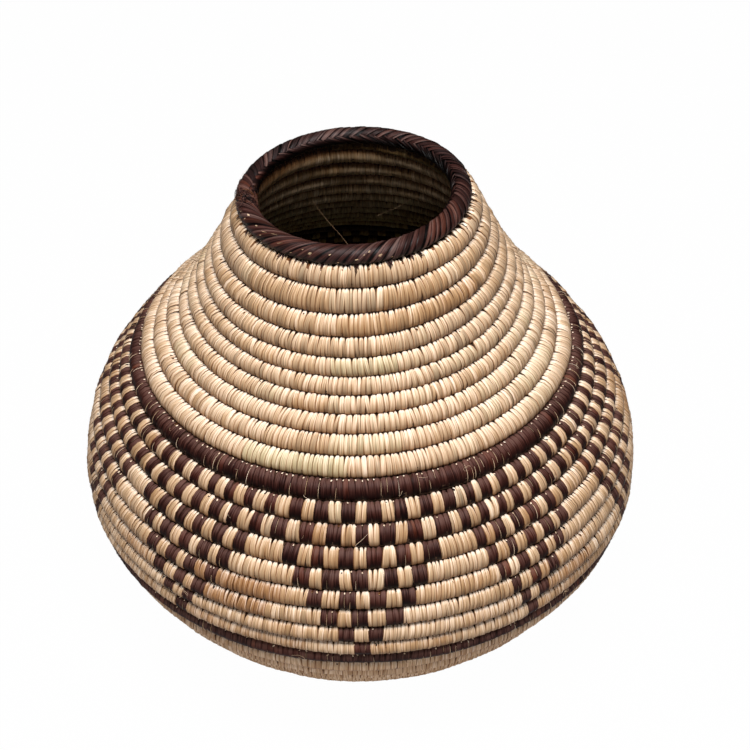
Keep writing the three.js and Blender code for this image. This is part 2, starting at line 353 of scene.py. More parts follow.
def marksOn(strips, rng):
    top = strips["round"] >= wall["upperBand"]
    edge = strips["round"] - strips["width"] / 2 / roundLength(strips["round"])
    tips, slivers = kinds = marked["tips"], marked["slivers"]
    masks = [rng.random(len(top)) < np.where(top, *kind["share"][::-1]) for kind in kinds]
    parts = []
    for kind, chosen in zip(kinds, masks):
        count = int(chosen.sum())
        if not count:
            continue
        start = rng.uniform(*tips["start"], count) if kind is tips else rng.choice(slivers["start"], count)
        parts.append(coilMarks({
            "round": edge[chosen],
            "from": start,
            "to": np.maximum(start - rng.uniform(*kind["length"], count), marked["lowest"]),
            "width": rng.uniform(*kind["width"], count),
            "slant": rng.normal(0, marked["slant"], count),
            "lift": kind["lift"] + rng.uniform(0, 0.1, count),
            "hue": rng.uniform(*kind["hue"], count),
            "tone": rng.uniform(*kind["tone"], count) - marked["dimmer"] * ~top[chosen],
        }))
    return parts


# the bundle inside the wrapping, seen only between the strips, where its dark colour is painted shade
bundle = {
    "corners": 12,
    "steps": 72,
    "size": 0.95,
    "below": 1.1,  # it reaches into the groove under it and closes it
}


def tubeFaces(count, corners, joined=False):  # quads between rows of corners, the ends closed or joined
    a = np.arange(count if joined else count - 1)[:, None] * corners
    b = (a + corners) % (count * corners)
    c = np.arange(corners)[None, :]
    d = (c + 1) % corners
    sides = np.stack([a + c, a + d, b + d, b + c], -1).ravel()
    if joined:
        return sides, np.full(len(sides) // 4, 4)
    first, last = np.arange(corners)[::-1], (count - 1) * corners + np.arange(corners)
    return np.concatenate([sides, first, last]), np.array([4] * (len(sides) // 4) + [corners] * 2)


def bundleOf(start, end):
    rounds = np.linspace(start, end, bundle["steps"] + 1)[:, None]
    turns = np.linspace(0, 2 * math.pi, bundle["corners"], endpoint=False)[None]
    across, up, _, _ = coilSection(turns)
    up = up * np.where(up < 0, bundle["below"], bundle["size"])
    points = onCoil(rounds, wrap["halfThickness"] * bundle["size"] * across, up)
    return meshPart(points, tubeFaces(len(rounds), bundle["corners"]), 0, 0, slot=1)


# materials

def linear(red, green, blue):  # a colour as seen to a colour as Blender mixes it
    return tuple(((c / 255 + 0.055) / 1.055) ** 2.4 for c in (red, green, blue)) + (1.0,)


def newMaterial(name):
    material = bpy.data.materials.new(name)
    material.use_nodes = True
    return material, material.node_tree


def feed(tree, node, inputs):  # each input gets a value, or the socket that drives it
    for key, value in inputs.items():
        if isinstance(value, bpy.types.NodeSocket):
            tree.links.new(value, node.inputs[key])
        else:
            node.inputs[key].default_value = value
    return node


def addNode(tree, kind, output, inputs, **settings):  # gives the socket named as output
    node = tree.nodes.new("ShaderNode" + kind)
    for key, value in settings.items():
        setattr(node, key, value)
    return feed(tree, node, inputs).outputs[output]


def multiplied(tree, a, b):
    return addNode(tree, "Math", "Value", {0: a, 1: b}, operation="MULTIPLY")


def ramp(tree, source, colours):  # evenly spaced colours
    socket = addNode(tree, "ValToRGB", "Color", {"Fac": source})
    stops = socket.node.color_ramp.elements
    stops[0].color = colours[0]
    stops[-1].color = colours[-1]
    for k, colour in enumerate(colours[1:-1], 1):
        stops.new(k / (len(colours) - 1)).color = colour
    return socket


def leafGrainGroup():  # fine lines along the leaf, from the strip's own map in mm
    group = bpy.data.node_groups.new("leafGrain", "ShaderNodeTree")
    group.interface.new_socket("Strip", in_out="INPUT", socket_type="NodeSocketVector")
    group.interface.new_socket("Lines", in_out="OUTPUT", socket_type="NodeSocketFloat")
    group.interface.new_socket("Veins", in_out="OUTPUT", socket_type="NodeSocketFloat")
    start, end = group.nodes.new("NodeGroupInput"), group.nodes.new("NodeGroupOutput")
    for output, scale, detail in (("Lines", (2.4, 0.06, 1), 2.0), ("Veins", (1.1, 0.05, 1), 1.0)):
        stretched = addNode(group, "Mapping", "Vector", {"Vector": start.outputs["Strip"], "Scale": scale})
        noise = addNode(group, "TexNoise", "Fac", {"Vector": stretched, "Scale": 1.0, "Detail": detail})
        feed(group, end, {output: noise})
    return group


leafGrain = leafGrainGroup()


def leafMaterial(name, colours, finish):  # the colours go from hue 0 to hue 1
    material, tree = newMaterial(name)
    reads = [addNode(tree, "Attribute", "Fac", {}, attribute_name=key) for key in leafKeys]
    hue, tone, paintedShade, inside = reads
    strip = addNode(tree, "UVMap", "UV", {}, uv_map="leaf")
    lines = addNode(tree, "Group", "Lines", {"Strip": strip}, node_tree=leafGrain)
    veins = lines.node.outputs["Veins"]

    def remap(source, low, high, outLow, outHigh, clamped=False):
        inputs = {"Value": source, "From Min": low, "From Max": high, "To Min": outLow, "To Max": outHigh}
        return addNode(tree, "MapRange", "Result", inputs, clamp=clamped)

    def mixed(colour, other, blend="MULTIPLY", factor=1.0):
        inputs = {"A": colour, "B": other, "Factor": factor}
        return addNode(tree, "Mix", "Result", inputs, data_type="RGBA", blend_type=blend)

    tone = remap(tone, 0, 1, *finish["tone"])
    tone = multiplied(tree, tone, remap(lines, 0.3, 0.7, *finish["lines"]))
    tone = multiplied(tree, tone, remap(veins, 0.3, 0.7, *finish["veins"]))
    colour = mixed(ramp(tree, hue, [linear(*seen) for seen in colours]), tone)
    colour = mixed(colour, finish["pale"] + (1.0,), "MIX", remap(tone, 0.85, 1.6, 0, 0.8, True))  # painted highlight: the lightest tones are mixed towards a pale colour
    paintedShadeSteps = [tuple(c ** (k / 4) ** 2 for c in finish["shadow"]) + (1.0,) for k in range(5)]
    colour = mixed(colour, ramp(tree, paintedShade, paintedShadeSteps))  # painted shade, which deepens most close to 1
    # painted shade inside the basket, towards the inside tint
    colour = mixed(colour, finish["inside"] + (1.0,), factor=inside)
    bump = {"Strength": finish["bump"], "Distance": 0.15 * mm, "Height": lines}
    feed(tree, tree.nodes["Principled BSDF"], {
        "Base Color": colour, "Roughness": remap(veins, 0.3, 0.7, *finish["roughness"]),
        "Normal": addNode(tree, "Bump", "Normal", bump), "Specular IOR Level": finish["specular"]})
    return material


# in each finish, pale is the colour of the painted highlight, shadow that of painted shade, inside that of
# painted shade in the belly
naturalLeaf = leafMaterial("naturalLeaf", [
    (190, 140, 94), (213, 170, 125), (228, 190, 149), (237, 203, 168), (236, 207, 169), (227, 207, 165),
], {
    "tone": (0.6, 1.26), "lines": (0.6, 1.26), "veins": (0.76, 1.18),
    "shadow": (0.085, 0.028, 0.009), "pale": (0.97, 0.9, 0.81), "inside": (0.44, 0.5, 0.38),
    "roughness": (0.4, 0.54), "bump": 0.6, "specular": 0.18,
})
dyedLeaf = leafMaterial("dyedLeaf", [
    (54, 30, 27), (66, 38, 34), (78, 45, 39), (92, 51, 42), (118, 68, 48),
], {
    "tone": (0.4, 1.55), "lines": (0.5, 1.5), "veins": (0.55, 1.45),
    "shadow": (0.05, 0.012, 0.008), "pale": (0.14, 0.075, 0.06), "inside": (0.4, 0.4, 0.4),
    "roughness": (0.45, 0.62), "bump": 0.5, "specular": 0.07,
})
rimLeaf = leafMaterial("rimLeaf", [
    (66, 49, 48), (64, 38, 35), (76, 42, 36), (100, 54, 41), (122, 69, 49),
], {
    "tone": (0.34, 1.5), "lines": (0.4, 1.65), "veins": (0.55, 1.45),
    "shadow": (0.03, 0.01, 0.008), "pale": (0.15, 0.09, 0.075), "inside": (1.0, 1.0, 1.0),
    "roughness": (0.38, 0.56), "bump": 0.9, "specular": 0.2,
})


def bundleMaterial():
    material, tree = newMaterial("bundle")
    where = addNode(tree, "TexCoord", "Object", {})
    fibres = addNode(tree, "TexNoise", "Fac", {"Vector": where, "Scale": 900})
    # painted shade: dark brown, as the bundle shows only in the gaps
    colour = ramp(tree, fibres, [linear(26, 14, 6), linear(84, 54, 28)])
    feed(tree, tree.nodes["Principled BSDF"], {"Base Color": colour, "Roughness": 0.9})
    return material


bundleFibre = bundleMaterial()
print("materials made")

# how the strips lie: natural leaf stands up in ribs, dyed leaf lies flatter
natural = {
    "widths": (1.8, 2.8),
    "spread": 0.24,
    "cover": 1.1,
    "footShade": 0.12,
    "paintedTopLight": 0.28,  # painted light: how much lighter the upper half is than the lower
    "paintedTipLight": 1.5,  # painted highlight: how much lighter the tip at the top is
    "crown": 0.14,
    "slant": 0.26,
    "lift": 0.1,
    "bites": 0.04,  # share whose tip shows over the round below
    "tan": [  # round, how tan, how light
        (0, 0.7, 0.72), (16, 0.68, 0.72), (19, 0.68, 0.5), (22, 0.6, 0.46), (25, 0.5, 0.4), (27, 0.28, 0.7),
        (30, 0.25, 0.58), (32, 0.28, 0.44), (35, 0.4, 0.3), (37, 0.38, 0.34)],
    "hue": 0.78,
    "tanHue": -0.75,
    "hueSpread": 0.1,
    "palest": 0.8,
    "places": [  # round, angle from, angle to, hue: stretches that can be told apart on the real basket
        (28, -8, 11, 0.9), (28, -26, -8, 0.48), (27, -30, -3.5, 1.0), (27, -3.5, 14, 0.6),
        (32, -10, 13, 0.9), (30, -4, 16, 0.5), (34, -8, 55, 0.25), (35, -50, -12, 0.3), (35, 10, 40, 0.16),
        (21, -36, -16, 0.04), (20, -34, -18, 0.0), (33, -45, -15, 0.5), (31, 30, 60, 0.7),
        (33, -12, 14, 0.42)],
}
dyed = {
    "widths": (2.2, 3.0),
    "spread": 0.16,
    "cover": 1.06,
    "footShade": 0.75,
    "paintedTopLight": 0.34,
    "paintedTipLight": 0.1,
    "tone": 0.66,
    "hues": [0.1, 0.25, 0.4, 0.6],
    "hueShares": [0.32, 0.36, 0.24, 0.08],
    "redShare": 0.035,
    "red": (0.7, 1.0),
    "crown": 0.06,
    "slant": 0.22,
    "lift": 0.06,
    "bites": 0.15,
    "places": [(26, 27, 47, 0.5), (26, -4.6, -3.2, 0.9), (26, -18.6, -17.4, 0.7), (25, 2, 9, 0.5),
               (24, 11, 15, 0.7)],
}
eachStrip = {  # how much one strip differs from the next, in either leaf
    "width": (0.55, 1.6), "crown": (0.75, 1.25), "slant": 0.2, "bow": 0.12, "tilt": 0.2,
    "bite": (0.7, 1.1), "paintedTipLight": (0.6, 1.2), "tone": (0.06, 0.22), "hue": 0.06,
    "leafToneAndPaintedLight": 0.06,  # from one leaf to the next
    "lowFootShade": 0.3,  # instead of footShade, up to the lower dark band
}
leafRun = (14, 46)  # length of coil wrapped from one leaf


def fillStretch(start, end, dark, rng):  # strips side by side over a stretch of the coil
    style = dyed if dark else natural
    length = roundLength((start + end) / 2) * (end - start)
    count = max(1, round(length / rng.uniform(*style["widths"])))
    widths = np.clip(rng.normal(1, style["spread"], count), *eachStrip["width"])
    edges = np.concatenate([[0], np.cumsum(widths)]) / widths.sum()
    widths = widths / widths.sum() * length
    footShade = style["footShade"] if start > wall["lowerBand"] else eachStrip["lowFootShade"]
    if dark:
        hue = rng.choice(dyed["hues"], p=dyed["hueShares"])
        hue = np.where(rng.random(count) < dyed["redShare"], rng.uniform(*dyed["red"], count), hue)
        tone = dyed["tone"]
    else:
        tan, tone = readTable(natural["tan"], start)
        hue = rng.normal(natural["hue"] + natural["tanHue"] * tan, natural["hueSpread"])
        hue = min(hue, natural["palest"])
    return {
        "round": start + (end - start) * (edges[1:] + edges[:-1]) / 2,
        "width": widths * style["cover"],
        "dark": np.full(count, dark),
        "crown": style["crown"] * widths * rng.uniform(*eachStrip["crown"], count),
        "slant": rng.normal(0, 1) * eachStrip["slant"] + rng.normal(0, 1, count) * style["slant"],
        "bow": rng.normal(eachStrip["bow"], eachStrip["bow"], count),
        "lift": style["lift"] * rng.uniform(-1.0, 1.0, count),
        "tilt": rng.normal(0, eachStrip["tilt"], count),
        "bite": np.where(rng.random(count) < style["bites"], rng.uniform(*eachStrip["bite"], count), 0.0),
        "seed": rng.random(count),
        "shade": np.full(count, footShade),
        "paintedTopLight": np.full(count, style["paintedTopLight"]),
        "paintedTipLight": rng.uniform(*eachStrip["paintedTipLight"], count) * style["paintedTipLight"],
        "tone": np.clip(rng.normal(tone, eachStrip["leafToneAndPaintedLight"])
                        + rng.normal(0, 1, count) * rng.uniform(*eachStrip["tone"]), 0, 1.1),
        "hue": np.clip(hue + rng.normal(0, eachStrip["hue"], count), 0, 1),
    }


# the pattern: two rounds of checks over hanging triangles
pattern = {
    "rounds": 8,
    "checkRounds": 2,
    "pairsPerTriangle": 7,  # a pair is a dark block and the pale one beside it
    "pairs": (-41, 34),
    "triangles": (-5, 4),
    "darkShare": 0.53,
    "askew": {1: -0.032},  # how far a triangle leans, in pairs for each round
    "unevenPlace": 0.035,
    "unevenShare": 0.05,
    "angles": [  # pairs counted from the front, angle
        (-42, -199.9), (-35, -167), (-28, -134.7), (-21, -102.5), (-14, -70.8), (-9.5, -50.2), (-7, -37.6),
        (-3.5, -20.4), (0, 0.1), (3.5, 20.6), (7, 36.5), (14, 69), (21, 103), (28, 137), (35, 170.6)],
}


def darkStretches(number, row, rng):  # row 1 is the top round of the pattern
    blocks = np.arange(*pattern["pairs"]) + (0.5 if row % 2 else 0.0)
    pairs = pattern["pairsPerTriangle"]
    if row > pattern["checkRounds"]:
        triangle = np.clip(np.rint(blocks / pairs), *pattern["triangles"])
        reach = (pattern["rounds"] - row) / 2 + 0.01
        blocks = blocks[abs(blocks - pairs * triangle) <= reach]
    middle = blocks + rng.normal(0, pattern["unevenPlace"], len(blocks))
    for triangle, lean in pattern["askew"].items():
        middle = middle + (np.rint(blocks / pairs) == triangle) * lean * max(row - pattern["checkRounds"], 0)
    half = (pattern["darkShare"] + rng.normal(0, pattern["unevenShare"], len(blocks))) / 2
    angles = readTable(pattern["angles"], np.stack([middle - half, middle + half], -1))
    stretches = (angles - wall["startAngle"]) / 360 + number + 1
    return [(max(a, number), min(b, number + 1)) for a, b in stretches
            if b > number + 0.002 and a < number + 0.998]


def roundStrips(start, end, dyedParts, rng):  # strips for a whole round, leaf by leaf
    runs = []
    here = start
    for dyedStart, dyedEnd in dyedParts + [(end, end)]:
        for stop, dark in ((dyedStart, False), (dyedEnd, True)):
            while stop - here > 1e-5:
                run = rng.uniform(*leafRun) / roundLength(here)
                there = stop if stop - here < 1.3 * run else here + run
                runs.append(fillStretch(here, there, dark, rng))
                here = there
    strips = {key: np.concatenate([run[key] for run in runs]) for key in runs[0]}
    angle = (angleAt(strips["round"]) + 180) % 360 - 180
    for style, mine in ((natural, ~strips["dark"]), (dyed, strips["dark"])):
        for number, low, high, hue in style["places"]:
            chosen = mine & (np.floor(strips["round"]) == number) & (angle > low) & (angle < high)
            varied = hue + 0.6 * (strips["hue"] - strips["hue"][mine].mean())
            strips["hue"] = np.where(chosen, np.clip(varied, 0, 1), strips["hue"])
    return strips


def take(strips, mask):
    return {key: value[mask] for key, value in strips.items()}


def wrapRound(node, number, kind, row=0):
    rng = np.random.default_rng(700 + number)
    start = number or button["hole"]
    end = number + 1.0
    if number == wall["lastRound"] - 1:
        end += wall["tail"]
    dyedParts = [(start, end)] if kind == "dyed" else []
    if kind == "pattern":
        dyedParts = darkStretches(number, row, rng)
    strips = roundStrips(start, end, dyedParts, rng)
    dark = strips.pop("dark")
    pieces = []
    marks = marksOn(take(strips, dark), rng) if dark.any() else []
    if not dark.all():
        parts = [wrapStrips(take(strips, ~dark)), bundleOf(start, end)] + marks
        pieces.append(makePiece(node + "_leaf", parts, [naturalLeaf, bundleFibre]))
    elif marks:
        pieces.append(makePiece(node + "_marks", marks, [naturalLeaf]))
    if dark.any():
        parts = [wrapStrips(take(strips, dark))]
        if dark.all():
            parts.append(bundleOf(start, end))
        pieces.append(makePiece(node + "_dyed", parts, [dyedLeaf, bundleFibre]))
    for piece in pieces:
        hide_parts(node)
        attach(piece, "root")


button = {  # strips crossed over the hole that the coil starts from, above and below the base
    "hole": 0.3,
    "strips": 8,
    "reach": 9.0,
    "width": 3.3,
    "top": 9.3,
    "bottom": 0.9,
    "topDroop": 2.2,
    "bottomRise": 1.2,
    "crown": 0.35,
    "thickness": 0.4,
}


def startStitches():
    parts = []
    y, side, raised = 2 * smallShape["along"] - 1, smallShape["side"], smallShape["crown"]
    for k in range(2 * button["strips"]):
        layer, above = divmod(k, 2)
        way = math.pi * k / (2 * button["strips"])
        along, over = button["reach"] * y, side * button["width"] * (1 - 0.3 * y**2)
        shell = button["thickness"] * (1 - raised)
        if above:
            height = button["top"] + 0.07 * layer + button["crown"] * raised
            height = height - button["topDroop"] * y**4 - shell
        else:
            height = button["bottom"] - 0.03 * layer + button["bottomRise"] * y**4 + shell
        points = np.stack([along * math.cos(way) - over * math.sin(way),
                           along * math.sin(way) + over * math.cos(way), height], -1)
        parts.append(meshPart(points, copied(smallShape, 1), over, along, 0.3, 0.5))
    piece = makePiece("start_knot_stitches", parts, [naturalLeaf])
    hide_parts("start_knot")
    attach(piece, "root")


bands = [
    ("base_round", 5, "natural"),
    ("lower_round", 11, "natural"),
    ("lower_dark_band", 1, "dyed"),
    ("pattern_round", 8, "pattern"),
    ("upper_dark_band", 1, "dyed"),
    ("neck_round", 10, "natural"),
]
startStitches()
wrapRound("start_knot", 0, "natural")
number = 1
for band, rounds, kind in bands:
    for k in range(1, rounds + 1):
        node = band if rounds == 1 else f"{band}_{k}"
        wrapRound(node, number, kind, rounds + 1 - k)
        number += 1
    print(band, "wrapped")


# the braid: strips laid from the outer and the inner hem up to a spine, each further round than its foot
braid = {
    "start": -104,
    "end": 266,
    "overlap": 257,  # the last strips lie over the first from here
    "overlapLift": 0.35,
    "spine": [(-104, 125), (-60, 135), (30, 135), (62, 118), (80, 102), (105, 100), (120, 106), (145, 115),
              (165, 120), (185, 121), (200, 116), (235, 108), (264, 98)],  # angle, turn
    "outerHem": -56,
    "innerHem": 248,
    "outer": [  # angle, spacing, advance, width over spacing
        (-97, 4.8, 20, 1.0), (-80, 4.8, 27, 1.0), (-45, 4.6, 28, 0.98), (-15, 4.2, 21, 0.95),
        (10, 3.9, 18, 0.92), (40, 3.7, 17, 0.92), (62, 3.2, 13, 0.97), (76, 2.6, 10, 1.0),
        (88, 2.6, 12, 1.0), (112, 3.2, 14, 1.0), (150, 4.0, 14, 1.0), (185, 4.3, 14, 1.0),
        (225, 4.2, 13, 1.0), (264, 4.4, 12, 1.0)],
    "inner": [
        (-97, 5.0, 13, 1.0), (0, 4.6, 12, 1.0), (60, 4.2, 12, 0.95), (85, 2.4, 12, 0.75),
        (112, 2.4, 14, 0.75), (150, 3.2, 16, 0.85), (190, 3.6, 16, 0.95), (264, 4.0, 12, 1.0)],
    "colour": [  # angle, how red, how light
        (-97, 0.42, 0.28), (-60, 0.42, 0.22), (-20, 0.34, 0.32), (20, 0.38, 0.48), (40, 0.55, 0.42),
        (62, 0.5, 0.24), (90, 0.3, 0.12), (130, 0.22, 0.26), (185, 0.14, 0.38), (235, 0.22, 0.2),
        (264, 0.5, 0.42)],
    "sweep": 1.45,  # how a strip curves: straight up at its foot, then along the rim
    "crown": 0.22,
    "shingle": [(60, 0.3), (110, 0.16)],
    "inset": 0.7,
    "under": 0.2,
    "edgeShade": [(0.4, 0), (0.42, 0.55), (0.47, 1), (0.5, 1)],  # place across the strip, shade
    "footShade": 0.85,
    "footReach": 0.24,
    "mouthShade": [(60, 0.5), (100, 0.97)],  # the inner face fades into the shade of the mouth
}


def rimPoint(angle, turn, lift):
    radius = rim["radius"] + rim["swell"] * np.cos(np.radians(angle)) - braid["inset"]
    radius = radius * (1 - braid["under"] * np.clip(-np.sin(turn + 0.2), 0, 1)) + lift
    seat = rimSeat(angle)
    profile = inWall(seat, radius * np.cos(turn), rim["radius"] + radius * np.sin(turn))
    return place(profile, angle, seat) + rimShift


def braidSide(name, rng):
    feet = []
    angle = braid["start"]
    while angle < braid["end"]:
        spacing, advance, share = readTable(braid[name], angle)
        spacing *= rng.uniform(0.72, 1.28)
        middle = angle + math.degrees(spacing / 2 / neckRadius)
        feet.append((middle, spacing, advance, share, *readTable(braid["colour"], angle)))
        angle += math.degrees(spacing / neckRadius)
    foot, spacing, advance, share, red, tone = (values[:, None] for values in np.array(feet).T)
    each = (len(feet), 1)
    y = braidShape["along"]
    side = braidShape["side"] if name == "outer" else -braidShape["side"]
    advance = advance * rng.uniform(0.88, 1.14, each)
    hem = math.radians(braid[name + "Hem"]) + rng.uniform(-0.16, 0.12, each)
    angle = foot + np.degrees(advance / neckRadius) * y ** braid["sweep"]
    spine = np.radians(readTable(braid["spine"], angle))
    turn = hem + (spine - hem) * y * (1.05 if name == "outer" else 1.03)
    slope = advance * braid["sweep"] * y ** (braid["sweep"] - 1) / (rim["radius"] * abs(spine - hem))
    size = np.hypot(1, slope)
    taper = np.clip(0.6 + 0.9 * y, 0, 1) * (1 - 0.2 * np.clip((y - 0.8) / 0.2, 0, 1))
    shift = side * spacing / size * share * 1.18 * taper * rng.uniform(0.85, 1.1, each)
    angle = angle + np.degrees(shift / size / neckRadius)
    turn = turn - np.sign(spine - hem) * shift * slope / size / rim["radius"]
    ridges = rng.uniform(0.3, 1.0, (len(feet), braidShape["column"].max() + 1))[:, braidShape["column"]]
    dip = np.clip((y - 0.9) / 0.1, 0, 1) * 0.55 + np.clip((0.15 - y) / 0.15, 0, 1) * 0.9  # at spine and foot
    lift = 0.25 + braid["crown"] * ridges * braidShape["crown"] + rng.normal(0, 0.08, each)
    lift = lift + braid["overlapLift"] * (foot > braid["overlap"]) - dip
    lift = lift - readTable(braid["shingle"], foot) * side
    seed = rng.random(each)
    hue = np.clip(red + rng.normal(0, 0.13, each) + 0.25 * (rng.random(each) < 0.04), 0, 0.72)
    if name == "outer":
        shade = braid["footShade"] * np.sqrt(np.clip(1 - y / braid["footReach"], 0, 1))
    else:
        inwards = np.clip((np.degrees(turn - spine) - 12) / 34, 0, 1)
        shade = np.sqrt(inwards * readTable(braid["mouthShade"], angle))
    # painted shade across each strip: one long edge darker than the other
    return meshPart(rimPoint(angle, turn, lift), copied(braidShape, len(feet)), 1.3 * shift + 40 * seed,
                    20 * y + 60 * seed, hue, np.clip(rng.normal(tone, 0.27) - 0.5 * side, 0, 1.4),
                    np.maximum(readTable(braid["edgeShade"], abs(side)), shade))


def rimCore(steps, corners, lift):  # what the braid is worked over
    angles = np.linspace(0, 360, steps, endpoint=False)[:, None]
    turns = np.linspace(0, 2 * math.pi, corners, endpoint=False)[None]
    loops, sizes = tubeFaces(steps, corners, joined=True)
    loops = loops.reshape(-1, 4)[:, [0, 3, 2, 1]].ravel()  # it winds the other way than the coil
    # painted shade: the core is coloured as if wholly in shade, as it shows only between the strips
    return meshPart(rimPoint(angles, turns, lift), (loops, sizes), 5 * turns, 0.9 * angles, 0.1, 0.2, 1.0)


hem = {  # ends of the braid's strips that stick out under it, over the top round of the neck
    "spread": [(-75, 6), (-22, 12), (14, 4), (40, 2), (170, 5)],  # middle of a bunch, ends in it
    "bunch": 14,
    "length": (0.5, 1.9),
    "width": (0.6, 1.4),
    "top": 2.3,  # mm above the rim's seat
    "hidden": 0.8,
    "seam": 3.3,  # from the middle of the wall, and how much further out below the seam
    "bulge": 2.7,
}


def hemEnds(rng):
    angle = [rng.normal(middle, hem["bunch"], count) for middle, count in hem["spread"]]
    angle = np.concatenate(angle)[:, None]
    each = angle.shape
    y, side = smallShape["along"], smallShape["side"]
    length, width = rng.uniform(*hem["length"], each), rng.uniform(*hem["width"], each)
    below = hem["top"] - (length + hem["hidden"]) * y
    bulge = np.sqrt(1 - (1 - np.clip((1.4 - below) / 5.8, 0, 1)) ** 2)
    across = hem["seam"] + hem["bulge"] * bulge + 0.2 * smallShape["crown"]
    shift = side * width * (1 - 0.8 * y**1.5) + rng.normal(0, 0.8, each) * y
    here = angle + np.degrees(shift / neckRadius)
    seat, seed = rimSeat(angle), rng.random(each)
    points = place(inWall(seat, across, below), here, seat) + rimShift * (1 - 0.6 * y[:, None])
    # painted shade: the ends are darker where they come out from under the rim
    return meshPart(points, copied(smallShape, len(angle)), shift + 30 * seed, 4 * y + 30 * seed,
                    rng.uniform(0.1, 0.5, each), rng.uniform(0.1, 0.6, each), np.clip(0.7 - y, 0, 1))


specks = {  # pale coil that shows between the strips of the braid
    "places": [  # angle, turn, length, width, slope, hue, tone
        (-21.5, 10, 1.8, 1.1, 20, 0.8, 0), (-12, 16, 1.2, 0.6, 30, 0.6, 0.3),
        (6.5, 28, 1.3, 0.8, 40, 0.6, 0.1), (4, 14, 1, 0.5, 40, 0.6, 0.1), (11.5, 4, 1.8, 1.1, 20, 0.6, 0.1),
        (0.5, -5, 1.5, 0.6, 10, 0.7, 0.6), (-66, 39, 1.9, 0.9, 10, 0.7, 1),
        (-56, 31, 1.6, 0.5, 15, 0.7, 0.8), (-49.5, 30, 3.4, 0.2, 15, 0.5, 0.4),
        (-43.5, 45, 3.6, 0.18, 12, 0.5, 0.2), (-50.5, 6, 1.2, 0.4, 30, 0.5, 0.2),
        (-66, 12, 1, 0.4, 70, 0.6, 0.5), (-38, 17, 3, 0.18, 25, 0.5, 0.2),
        (-25.5, 21, 1, 0.4, 30, 0.5, 0.1), (-31, -8, 1.1, 0.3, 30, 0.4, 0), (17, -14, 1, 0.4, 40, 0.4, 0),
        (-72.5, 14, 1, 0.3, 60, 0.6, 0.6), (-8, -20, 0.9, 0.4, 30, 0.4, 0.2)],
    "lift": 0.5,
    "crown": 0.15,
    "shade": 0.25,
}


def rimSpecks(rng):
    places = np.array(specks["places"])
    angle, turn, length, width, slope, hue, tone = (values[:, None] for values in places.T)
    y, side = smallShape["along"] - 0.5, smallShape["side"]
    along, over = length * y, width * side * np.cos(math.pi * 0.85 * y) * rng.uniform(0.8, 1.2, side.shape)
    slope = np.radians(slope)
    angle = angle + np.degrees((along * np.cos(slope) + over * np.sin(slope)) / neckRadius)
    turn = np.radians(turn) + (along * np.sin(slope) - over * np.cos(slope)) / rim["radius"]
    lift = specks["lift"] + specks["crown"] * smallShape["crown"]
    return meshPart(rimPoint(angle, turn, lift), copied(smallShape, len(places)), over, along, hue, tone,
                    specks["shade"])


def fibre(points, thickness, look, corners=4):  # through the given places; look is hue, tone and shade
    points = np.array(points, float)
    spans = np.linspace(0, len(points) - 1, 5 * (len(points) - 1) + 1)
    index = np.clip(spans.astype(int), 0, len(points) - 2)
    t = (spans - index)[:, None]
    before = points[np.maximum(index - 1, 0)]
    after = points[np.minimum(index + 2, len(points) - 1)]
    a, b = points[index], points[index + 1]
    line = 0.5 * (2 * a + (b - before) * t + (2 * before - 5 * a + 4 * b - after) * t**2
                  + (3 * a - before - 3 * b + after) * t**3)
    way = np.gradient(line, axis=0)
    way /= np.linalg.norm(way, axis=1, keepdims=True)
    over = np.cross(way, (0.3, 0.2, 1))
    over /= np.linalg.norm(over, axis=1, keepdims=True)
    third = np.cross(way, over)
    turns = np.linspace(0, 2 * math.pi, corners, endpoint=False)[None, :, None]
    thin = (thickness / 2 * (1 - 0.7 * spans / spans[-1]))[:, None, None]
    tube = line[:, None] + thin * (over[:, None] * np.cos(turns) + third[:, None] * np.sin(turns))
    return meshPart(tube, tubeFaces(len(line), corners), turns[..., 0], 3 * spans[:, None], *look)


knot = {  # the tangle of strip ends where the braid closes, with some natural fibre in it
    "angle": -84,
    "dark": {"count": 38, "spread": 4.5, "turns": (5, 150), "size": (0.8, 2.8), "thickness": (0.22, 0.55),
             "rise": 0.9},
    "pale": {"count": 7, "spread": 5, "turns": (10, 160), "size": (0.8, 2.0), "thickness": (0.12, 0.26),
             "rise": 1.2},
    "arch": [(-4, 50), (-4.5, 68), (-3, 88), (0.5, 105), (3, 122)],  # angle past the knot's, turn
    "archLift": 0.9,
    "beside": (0.9, -0.6, 0.1),
}


def knotCurls(kind, rng):  # loops of fibre that lie on the rim
    curls = []
    for k in range(kind["count"]):
        angle = knot["angle"] + rng.normal(0, kind["spread"])
        turn = math.radians(rng.uniform(*kind["turns"]))
        if kind is knot["dark"]:
            look = (rng.uniform(0.3, 0.9), rng.uniform(0.1, 1.0), 0.9 if k % 5 < 2 else 0.0)
        size, thickness = rng.uniform(*kind["size"]), rng.uniform(*kind["thickness"])
        if kind is knot["pale"]:
            look = (0.1, rng.uniform(0, 0.5), 0.75)
        spin, way = rng.uniform(0, 2 * math.pi), rng.choice([-1, 1])
        bends = []
        for t in np.linspace(0, rng.uniform(0.4, 1.0), 6):
            phase = spin + way * 2 * math.pi * t
            lift = 0.4 + kind["rise"] * math.sin(math.pi * t) * rng.uniform(0.3, 1.0)
            bends.append(rimPoint(angle + math.degrees(size * 1.5 * math.cos(phase) / neckRadius),
                                  turn + size * math.sin(phase) / rim["radius"], lift))
        curls.append(fibre(bends, thickness, look))
    return curls


def knotArch():  # natural fibre over the rim
    arch = np.array([rimPoint(knot["angle"] + past, math.radians(turn), knot["archLift"])
                     for past, turn in knot["arch"]])
    return [fibre(arch, 0.5, (0.0, 0.3, 0.7)), fibre(arch + knot["beside"], 0.4, (0.1, 0.3, 0.7))]


